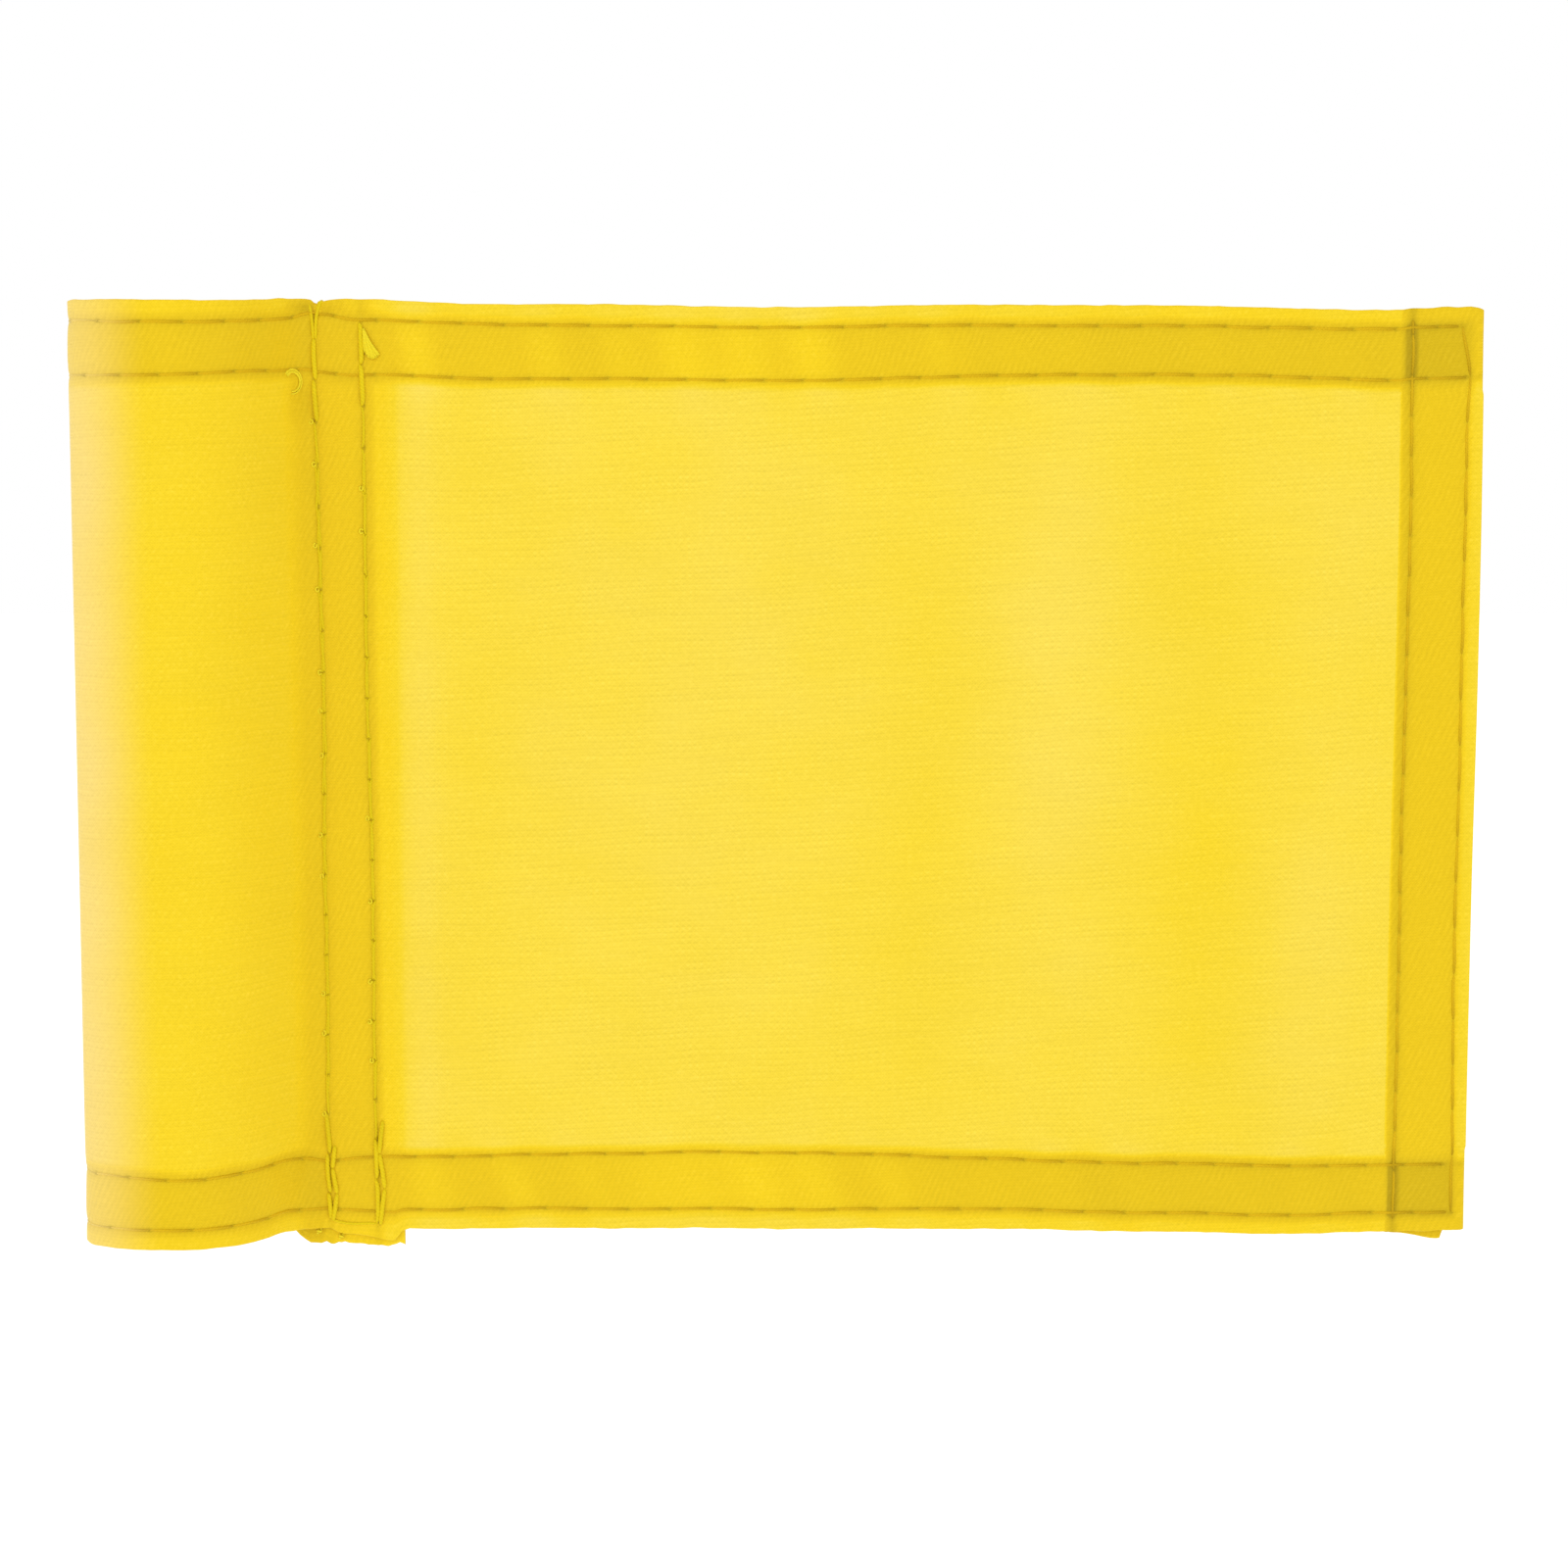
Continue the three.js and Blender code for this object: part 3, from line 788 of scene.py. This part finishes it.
def knot(thread, where, hole, rng):
    """A small loop of the bobbin thread pulled up beside a hole."""
    base, inward = where(np.array([hole]))
    centre = base[0] - inward[0] * 0.12 + np.array([rng.uniform(-0.65, -0.4), 0, rng.uniform(-0.3, 0.3)])
    turn = np.linspace(0, 1.8 * math.pi, 9) + rng.uniform(0, 6)
    path = centre + np.stack([0.24 * np.cos(turn), -0.06 * np.sin(turn / 2), 0.34 * np.sin(turn)], 1)
    thread.tube(path, 0.14, 6)


def top_wrap(thread, hole):
    """The first stitch of row 1 goes from its top hole over the cloth's edge, as two strands that splay."""
    row = SEAM_ROW_1
    z = np.array([hole, hole + 0.15, *np.linspace(hole + 0.6, TOP_Z - 0.15, 8)])
    lift = np.array([-0.3, 0.0, *np.full(8, 0.17)])[:, None]
    front, inward = place(face_s(row.line(z)), z, 0.0)
    back, _ = place(flap_s(row.line(z)), z, 0.0)
    front = front - inward * lift
    back = back + np.array([0, 1, 0]) * lift
    crown = (front[-1] + back[-1]) / 2 + np.array([0, 0, 0.28])
    over = np.concatenate([front, crown[None], back[::-1]])
    splay = np.concatenate([np.linspace(0, 1, 11), np.linspace(1, 0, 10)])[:, None] ** 3
    radius = SEAM_THREAD_RADIUS * (0.95 + 0.35 * splay[:, 0])
    for side in (-1.0, 0.85):
        thread.tube(over + splay * (side, 0, 0.1) + (0.2 * side, 0, 0), radius)


def loose_ends():
    """Cut tails: a fanned one at the top of row 2, a curl beside row 1, and two knots under the bottom edge.
    The bobbin thread also shows as a small knot beside some of the seam's holes."""
    thread = Thread("sleeve_seam_loose_ends")
    rng = np.random.default_rng(90)
    for row in (SEAM_ROW_1, SEAM_ROW_2):
        for hole in holes_between(row, BOTTOM_Z + 16, TOP_Z - 14):
            if rng.random() < 0.45:
                knot(thread, upright_where(row, True, flap_s), hole, rng)
    z0, x0 = TOP_Z - 4.3, SEAM_ROW_2.line(TOP_Z - 5) + 0.3
    t = np.linspace(0, 1, 9)
    for k in range(8):
        x = x0 + (0.25 + 0.28 * k) * t**1.2 + 0.04 * np.sin(7 * t + k)
        z = z0 - (4.3 - 0.06 * abs(k - 4) ** 2) * t
        base, inward = place(face_s(x), z, 0.0)
        lift = 0.1 + 0.08 * (k % 3) + 0.2 * np.sin(math.pi * t)
        thread.tube(base - inward * lift[:, None], 0.2 + 0.06 * t, 6)
    t = np.linspace(0, 1, 18)
    turn = math.pi * (0.78 - 1.35 * t)
    for k in range(2):
        x = 24.1 + (1.5 - 0.3 * k) * np.cos(turn)
        z = TOP_Z - 12 + (1.75 - 0.35 * k) * np.sin(turn)
        base, inward = place(face_s(x), z, 0.0)
        lift = 0.04 * k + 0.1 * np.sin(math.pi * t)
        thread.tube(base - inward * lift[:, None], 0.22 - 0.1 * t, 6)
    for x0, size in ((26.6, 0.55), (29.8, 0.5)):
        base, _ = place(face_s(x0), BOTTOM_Z, LAYER)
        turn = np.linspace(0, 3.4 * math.pi, 18)
        across, back = size * 0.5 * np.cos(turn), 0.1 + size * 0.5 * np.sin(turn)
        thread.tube(base + np.stack([across, back, -0.15 - 0.05 * turn], 1), 0.17, 6)
    return thread


def backtack(name, row, offset, heights):
    """Extra stitches beside the bottom of a seam row that lock the thread, with holes at heights."""
    thread = Thread(name)

    def where(t):
        return place(face_s(row.line(t) + offset + 0.12 * np.sin(t / 2.2)), t, 0.0)

    holes = [BOTTOM_Z + height for height in heights]
    for k, (a, b) in enumerate(zip(holes, holes[1:])):
        thread.stitch(where, a, b, 0.22, SEAM_THREAD_RADIUS * 1.35, slant=0.5 if k % 2 else -0.5)
    return thread


# ---- materials
class Nodes:
    """Short names for building a material's node tree."""

    def __init__(self, name):
        self.material = bpy.data.materials.new(name)
        self.material.use_nodes = True
        self.tree = self.material.node_tree
        self.shader = self.tree.nodes["Principled BSDF"]

    def add(self, kind, inputs=(), **settings):
        """A node. inputs says which value or socket feeds each input."""
        node = self.tree.nodes.new(kind)
        for key, value in settings.items():
            setattr(node, key, value)
        for socket, value in dict(inputs).items():
            self.wire(value, node.inputs[socket])
        return node

    def wire(self, value, socket):
        if isinstance(value, bpy.types.NodeSocket):
            self.tree.links.new(value, socket)
        else:
            socket.default_value = value

    def math(self, operation, *values, clamp=False):
        node = self.add("ShaderNodeMath", enumerate(values), operation=operation, use_clamp=clamp)
        return node.outputs[0]

    def sum(self, first, *others):
        for other in others:
            first = self.math("ADD", first, other)
        return first

    def times(self, first, *others):
        for other in others:
            first = self.math("MULTIPLY", first, other)
        return first

    def wave(self, value, pitch, phase=0.0):
        """A sine of value, from -1 to 1."""
        return self.math("SINE", self.math("MULTIPLY_ADD", value, 2 * math.pi / pitch, phase))

    def bell(self, value, width):
        return self.math("EXPONENT", self.times(value, value, -1 / width**2))

    def noise(self, vector, scale, detail=2.0, roughness=0.5):
        inputs = {"Vector": vector, "Scale": scale, "Detail": detail, "Roughness": roughness}
        return self.add("ShaderNodeTexNoise", inputs).outputs["Fac"]

    def stretch(self, vector, x, y, z=1.0):
        return self.add("ShaderNodeVectorMath", {0: vector, 1: (x, y, z)}, operation="MULTIPLY").outputs[0]

    def split(self, vector):
        return self.add("ShaderNodeSeparateXYZ", {0: vector}).outputs

    def attribute(self, name):
        """The three values that set_point_data stored."""
        return self.split(self.add("ShaderNodeAttribute", attribute_name=name).outputs["Vector"])

    def centred(self, value):
        return self.math("SUBTRACT", value, 0.5)

    def ramp(self, value, stops):
        node = self.add("ShaderNodeValToRGB", {0: value})
        elements = node.color_ramp.elements
        while len(elements) < len(stops):
            elements.new(0.5)
        for element, (position, colour) in zip(elements, stops):
            element.position, element.color = position, (*colour, 1.0)
        return node.outputs[0]

    def mix(self, factor, first, second):
        inputs = {0: factor, 6: first, 7: (*second, 1.0)}
        return self.add("ShaderNodeMix", inputs, data_type="RGBA", clamp_factor=True).outputs[2]

    def scaled_colour(self, colour, factor):
        inputs = {0: colour, "Scale": factor}
        return self.add("ShaderNodeVectorMath", inputs, operation="SCALE").outputs[0]

    def bump(self, height, distance, strength=1.0, normal=None):
        inputs = {"Strength": strength, "Distance": distance, "Height": height}
        if normal is not None:
            inputs["Normal"] = normal
        return self.add("ShaderNodeBump", inputs).outputs[0]

    def set(self, **values):
        for key, value in values.items():
            self.wire(value, self.shader.inputs[key.replace("_", " ")])


# The cloth's colour by a tenth of the layer count, which also carries painted shade and painted light
LAYER_COLOURS = (
    (0.055, (0.800, 0.612, 0.074)),
    (0.1, (0.795, 0.594, 0.041)),
    (0.15, (0.785, 0.572, 0.018)),
    (0.2, (0.790, 0.553, 0.009)),
    (0.3, (0.716, 0.488, 0.007)),
    (0.8, (0.590, 0.405, 0.006)),
    (1.0, (0.440, 0.300, 0.005)),
)
# Colours of the pole side's painted highlight and of the yarns' painted glints
HIGHLIGHT_COLOUR = (0.810, 0.606, 0.170)
GLINT_COLOUR = (0.830, 0.640, 0.180)


def cloth_material():
    """Coated plain-weave nylon. The colour deepens with the number of layers behind it, and with painted
    shade and painted light.
    """
    n = Nodes("flag_nylon")
    rows, holes, sewn = n.attribute("rows"), n.attribute("holes"), n.attribute("sewn")
    uv = n.add("ShaderNodeUVMap", uv_map="cloth").outputs[0]
    along, up, _ = n.split(uv)
    hue = n.noise(uv, 70.0, 2.0)
    # The layer count with its painted shade and light, and a random hue
    layers = n.sum(rows[2], n.times(n.centred(hue), 0.5))

    # Weave: fine ribs of weft crossed by the warp, both drifting a little. Over them lie the coarser bands in
    # which the yarns of one layer, or of two layers at a slant, bunch together
    drift = n.noise(n.stretch(uv, 1.0, 1.6), 60.0, 4.0)
    tilt = n.times(along, n.math("MULTIPLY_ADD", along, 0.156, -0.09))
    up_drifted = n.sum(up, n.times(drift, 0.0016), tilt)
    along_drifted = n.sum(along, n.times(n.noise(uv, 110.0, 3.0), 0.0022))
    rib = n.wave(up_drifted, 0.00045)
    warp = n.wave(along_drifted, 0.00042)
    crossing = n.times(rib, warp)
    band = n.wave(up_drifted, 0.00090)
    slant = n.wave(n.sum(along_drifted, n.times(up_drifted, -0.5)), 0.00096)
    many = n.math("MULTIPLY_ADD", layers, 0.5, -0.5, clamp=True)
    single = n.math("SUBTRACT", 1.0, many)
    patchy = n.math("MULTIPLY_ADD", n.noise(n.stretch(uv, 1.0, 1.8), 210.0, 3.0), 3.2, -1.1, clamp=True)
    dots = n.times(band, n.wave(along_drifted, 0.00092))
    bunched = n.times(n.sum(n.times(band, 0.6), n.times(dots, 0.7)), single)
    texture = n.times(n.sum(bunched, n.times(slant, many, 0.62)), n.sum(0.2, patchy))
    streaks = n.noise(n.stretch(uv, 60.0, 800.0), 1.0, 2.0, 0.6)
    mottle = n.noise(uv, 1300.0, 2.0, 0.6)
    tone = n.sum(1.0, n.times(texture, 0.05), n.times(rib, 0.016), n.times(crossing, 0.035),
                 n.times(n.centred(streaks), 0.08, n.sum(0.3, n.times(single, 0.7))),
                 n.times(n.centred(mottle), 0.14), n.times(n.centred(n.noise(uv, 55.0, 3.0)), 0.05))

    # Stitching: painted shade along each row's furrow, fading from each hole to the next, and deepest in the
    # needle holes. A place along a row is in stitches, and a whole number is added to it so that FRACT sees
    # nothing below 0
    def marks(distance, along_row):
        since = n.math("FRACT", n.sum(along_row, 100.0))
        from_hole = n.times(n.centred(n.math("FRACT", n.sum(along_row, 100.5))), STITCH)
        trail = n.times(n.bell(distance, 0.46), n.math("SUBTRACT", 1.0, since))
        line = n.math("MAXIMUM", trail, n.times(n.bell(distance, 0.42), 0.5))
        return line, n.bell(distance, 1.2), n.times(n.bell(distance, 0.26), n.bell(from_hole, 0.5))

    pairs = zip(marks(rows[0], holes[0]), marks(rows[1], holes[1]))
    line, wide, hole = (n.math("MAXIMUM", n.times(in_hem, sewn[0]), n.times(upright, sewn[1]))
                        for in_hem, upright in pairs)
    # The rows' painted shade is deeper in the fly hem's corners, and fainter under the pole side's painted
    # highlight
    line_depth = n.math("MULTIPLY_ADD", sewn[2], -0.03, -0.09)
    off_highlight = n.math("MULTIPLY_ADD", holes[2], -0.8, 1.0)
    row_shade = n.sum(1.0, n.times(line, line_depth, off_highlight), n.times(wide, -0.035), n.times(hole, -0.13))
    base = n.ramp(n.times(layers, 0.1), LAYER_COLOURS)
    # Painted glints: the weave and a random mottle mix the colour towards a paler one, most on the single
    # cloth
    yarn_glints = n.sum(n.times(texture, 0.05), n.times(n.math("SUBTRACT", mottle, 0.52), 0.3))
    base = n.mix(n.times(yarn_glints, n.sum(0.25, n.times(single, 0.75))), base, GLINT_COLOUR)
    # Painted highlight on the sleeve's pole side
    base = n.mix(holes[2], base, HIGHLIGHT_COLOUR)
    colour = n.scaled_colour(base, n.times(tone, row_shade))

    weave = n.sum(n.times(rib, 0.5), n.times(warp, 0.22), n.times(crossing, 0.3), n.times(mottle, 0.6))
    fine = n.bump(weave, 0.000022, 0.8)
    creases = n.noise(n.stretch(uv, 1.0, 1.4), 95.0, 4.0, 0.55)
    soft = n.bump(creases, 0.00035, 0.5, fine)
    pressed = n.bump(n.times(hole, -1.0), 0.00025, 0.9, soft)
    n.set(Base_Color=colour, Normal=pressed, Roughness=n.math("MULTIPLY_ADD", mottle, 0.16, 0.46))
    n.set(Specular_IOR_Level=0.09, Sheen_Weight=0.05, Sheen_Roughness=0.35)
    return n.material


def thread_material(name, colour, shaded=0.0, pulled=0.0):
    """Twisted polyester thread: slanting plies with a soft shine. It is painted paler by a highlight on the
    sleeve's
    pole side, and darker by painted shade: by shaded in the seam's middle, where the cloth beside it hides
    it, at the fly hem's corners, and by pulled over the first 5.5 mm of each stitch, where it leaves its
    hole."""
    n = Nodes(name)
    uv = n.add("ShaderNodeUVMap", uv_map="thread").outputs[0]
    tones = n.attribute("tones")
    run, around, _ = n.split(uv)
    ply = n.math("SINE", n.sum(n.times(run, 2 * math.pi / 0.00055), n.times(around, 4 * math.pi)))
    fuzz = n.noise(n.stretch(uv, 3000.0, 9.0), 1.0, 3.0)
    tone = n.sum(0.98, n.times(ply, 0.04), n.times(n.centred(fuzz), 0.2), n.times(tones[1], -shaded),
                 n.times(tones[2], -0.10))
    if pulled:
        # Painted shade at the start of each stitch, next to the hole it comes out of
        start_shade = n.math("MULTIPLY_ADD", run, -1 / 0.0055, 1.0, clamp=True)
        tone = n.sum(tone, n.times(start_shade, start_shade, -pulled))
    base = n.ramp(fuzz, ((0.0, colour), (1.0, tuple(c * 0.92 for c in colour))))
    n.set(Base_Color=n.scaled_colour(n.mix(n.times(tones[0], 0.85), base, HIGHLIGHT_COLOUR), tone))
    n.set(Normal=n.bump(n.sum(ply, n.times(fuzz, 0.5)), 0.00003, 0.6), Roughness=0.55)
    n.set(Specular_IOR_Level=0.08, Sheen_Weight=0.03, Sheen_Roughness=0.4)
    return n.material


def liner_material():
    """Milky extruded plastic with faint draw lines along the tube and a slightly scuffed surface."""
    n = Nodes("liner_plastic")
    position = n.add("ShaderNodeTexCoord").outputs["Object"]
    lines = n.noise(n.stretch(position, 900.0, 900.0, 6.0), 1.0, 3.0)
    scuff = n.noise(position, 180.0, 5.0, 0.6)
    tone = n.sum(0.95, n.times(lines, 0.06), n.times(scuff, 0.05))
    base = n.ramp(scuff, ((0.2, (0.72, 0.71, 0.67)), (0.8, (0.78, 0.77, 0.74))))
    n.set(Base_Color=n.scaled_colour(base, tone))
    n.set(Normal=n.bump(n.sum(lines, n.times(scuff, 0.4)), 0.00006, 0.5), Subsurface_Weight=0.15)
    n.set(Roughness=n.math("MULTIPLY_ADD", scuff, 0.25, 0.27))
    return n.material


# ---- pieces
def make_liner():
    """The tube in the sleeve, with its cut ends slightly rounded and not quite square."""
    sides, chamfer = 96, 0.15
    small = chamfer * 0.3
    outer, inner, height = LINER_OUTER, LINER_INNER, LINER_TOP_Z - LINER_BOTTOM_Z
    ring = [(outer, z) for z in np.linspace(chamfer, height - chamfer, 40)]
    ring += [(outer - small, height - small), (outer - chamfer, height)]
    ring += [(inner + chamfer, height), (inner + small, height - small)]
    ring += [(inner, z) for z in np.linspace(height - chamfer, chamfer, 40)]
    ring += [(inner + small, small), (inner + chamfer, 0), (outer - chamfer, 0), (outer - small, small)]
    points, faces = [], []
    for radius, z in ring:
        uneven = 0.05 * abs(2 * z / height - 1) ** 6 * (1 if z > height / 2 else -1)
        for k in range(sides):
            turn = 2 * math.pi * k / sides
            cut_z = LINER_BOTTOM_Z + z + uneven * math.sin(turn * 2 + 1) - uneven
            points.append((radius * math.cos(turn), radius * math.sin(turn), cut_z))
    for i in range(len(ring)):
        a, b = i * sides, (i + 1) % len(ring) * sides
        faces += [(a + k, a + (k + 1) % sides, b + (k + 1) % sides, b + k) for k in range(sides)]
    return new_object("pole_liner_tube", points, faces)


def bend(piece):
    """For a piece that crosses the soft hinge beside the seam: it bakes the piece's transform into its mesh,
    and bends nothing.
    """
    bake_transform(piece)


nylon = cloth_material()
hem_thread_material = thread_material("hem_thread", (0.690, 0.440, 0.006), pulled=0.24)
seam_thread_material = thread_material("seam_thread", (0.74, 0.56, 0.006), shaded=0.06)

cloth = make_cloth()
cloth.data.materials.append(nylon)
bend(cloth)
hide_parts("sleeve_cloth", "fly_panel", "fly_edge_hem",
            *(f"{part}_{edge}_hem" for part in ("sleeve", "fly") for edge in ("top", "bottom")))


def finish_thread(thread, material, nodes, body=None):
    thread.name = thread.name.replace("_thread", "_stitches")
    piece = thread.build()
    piece.data.materials.append(material)
    if body is None:
        bend(piece)
    else:
        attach(piece, body)
    if nodes:
        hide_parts(*nodes)


for row in HEM_ROWS:
    for needle in (True, False):
        thread = hem_thread(row, needle)
        finish_thread(thread, hem_thread_material, [f"{part}_{thread.name}" for part in ("sleeve", "fly")])
for row in (FLY_OUTER, FLY_INNER):
    for needle in (True, False):
        thread = fly_thread(row, needle)
        finish_thread(thread, hem_thread_material, [thread.name], "fly")
for needle in (True, False):
    thread = seam_thread(needle)
    finish_thread(thread, seam_thread_material, [thread.name], "sleeve")
BACKTACKS = ((SEAM_ROW_1, 0.8, (1.4, 5.4, 9.2, 12.6)), (SEAM_ROW_2, 0.75, (1.4, 6.2, 11.4, 16.4)))
for number, (row, offset, heights) in enumerate(BACKTACKS, 1):
    name = f"sleeve_seam_backtack_{number}"
    thread = backtack(f"{name}_stitches", row, offset, heights)
    finish_thread(thread, seam_thread_material, [name], "sleeve")

finish_thread(loose_ends(), thread_material("loose_thread", (0.83, 0.665, 0.020)), [], "sleeve")

liner = make_liner()
liner.data.materials.append(liner_material())
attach(liner, "liner")
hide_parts("pole_liner")

# ---- stage, light and camera
(LOW_X, _, LOW_Z), (HIGH_X, _, HIGH_Z) = CAD_BOX
MIDDLE = Vector(((LOW_X + HIGH_X) / 2 + 0.0007, FACE_Y * MM, (LOW_Z + HIGH_Z) / 2 - 0.0016))


def make_floor():
    size, height = 4.0, LOW_Z - 0.12
    mesh = bpy.data.meshes.new("floor")
    corners = [(-size, -size), (size, -size), (size, size), (-size, size)]
    mesh.from_pydata([(*corner, height) for corner in corners], [], [(0, 1, 2, 3)])
    n = Nodes("floor_white")
    n.set(Base_Color=(0.93, 0.93, 0.93, 1), Roughness=0.9)
    n.set(Emission_Color=(1, 1, 1, 1), Emission_Strength=0.25)
    mesh.materials.append(n.material)
    add_object("floor", mesh)


def soft_light(name, direction, distance, size, watts, colour=(1, 1, 1)):
    light = bpy.data.lights.new(name, "AREA")
    light.shape, light.size, light.energy, light.color = "DISK", size, watts, colour
    lamp = add_object(name, light)
    offset = Vector(direction).normalized()
    lamp.location = MIDDLE + offset * distance
    lamp.rotation_euler = offset.to_track_quat("Z", "Y").to_euler()


make_floor()
soft_light("key", (-0.5, -0.85, 0.4), 0.95, 0.6, 1.1)
soft_light("fill", (0.8, -0.5, 0.3), 0.95, 0.6, 0.5)

world = bpy.data.worlds.new("studio")
world.use_nodes = True
world.node_tree.nodes["Background"].inputs["Color"].default_value = (1, 1, 1, 1)
world.node_tree.nodes["Background"].inputs["Strength"].default_value = 1.0
bpy.context.scene.world = world
bpy.context.scene.view_settings.view_transform = "Standard"

CAMERA_DISTANCE, CAMERA_RISE = 0.5, math.radians(5.9)
camera_data = bpy.data.cameras.new("camera")
camera_data.lens, camera_data.sensor_width = 77.8, 36.0
camera_data.clip_start, camera_data.clip_end = 0.01, 20
camera = add_object("camera", camera_data)
camera.location = MIDDLE + CAMERA_DISTANCE * Vector((0, -math.cos(CAMERA_RISE), math.sin(CAMERA_RISE)))
camera.rotation_euler = (camera.location - MIDDLE).to_track_quat("Z", "Y").to_euler()
bpy.context.scene.camera = camera
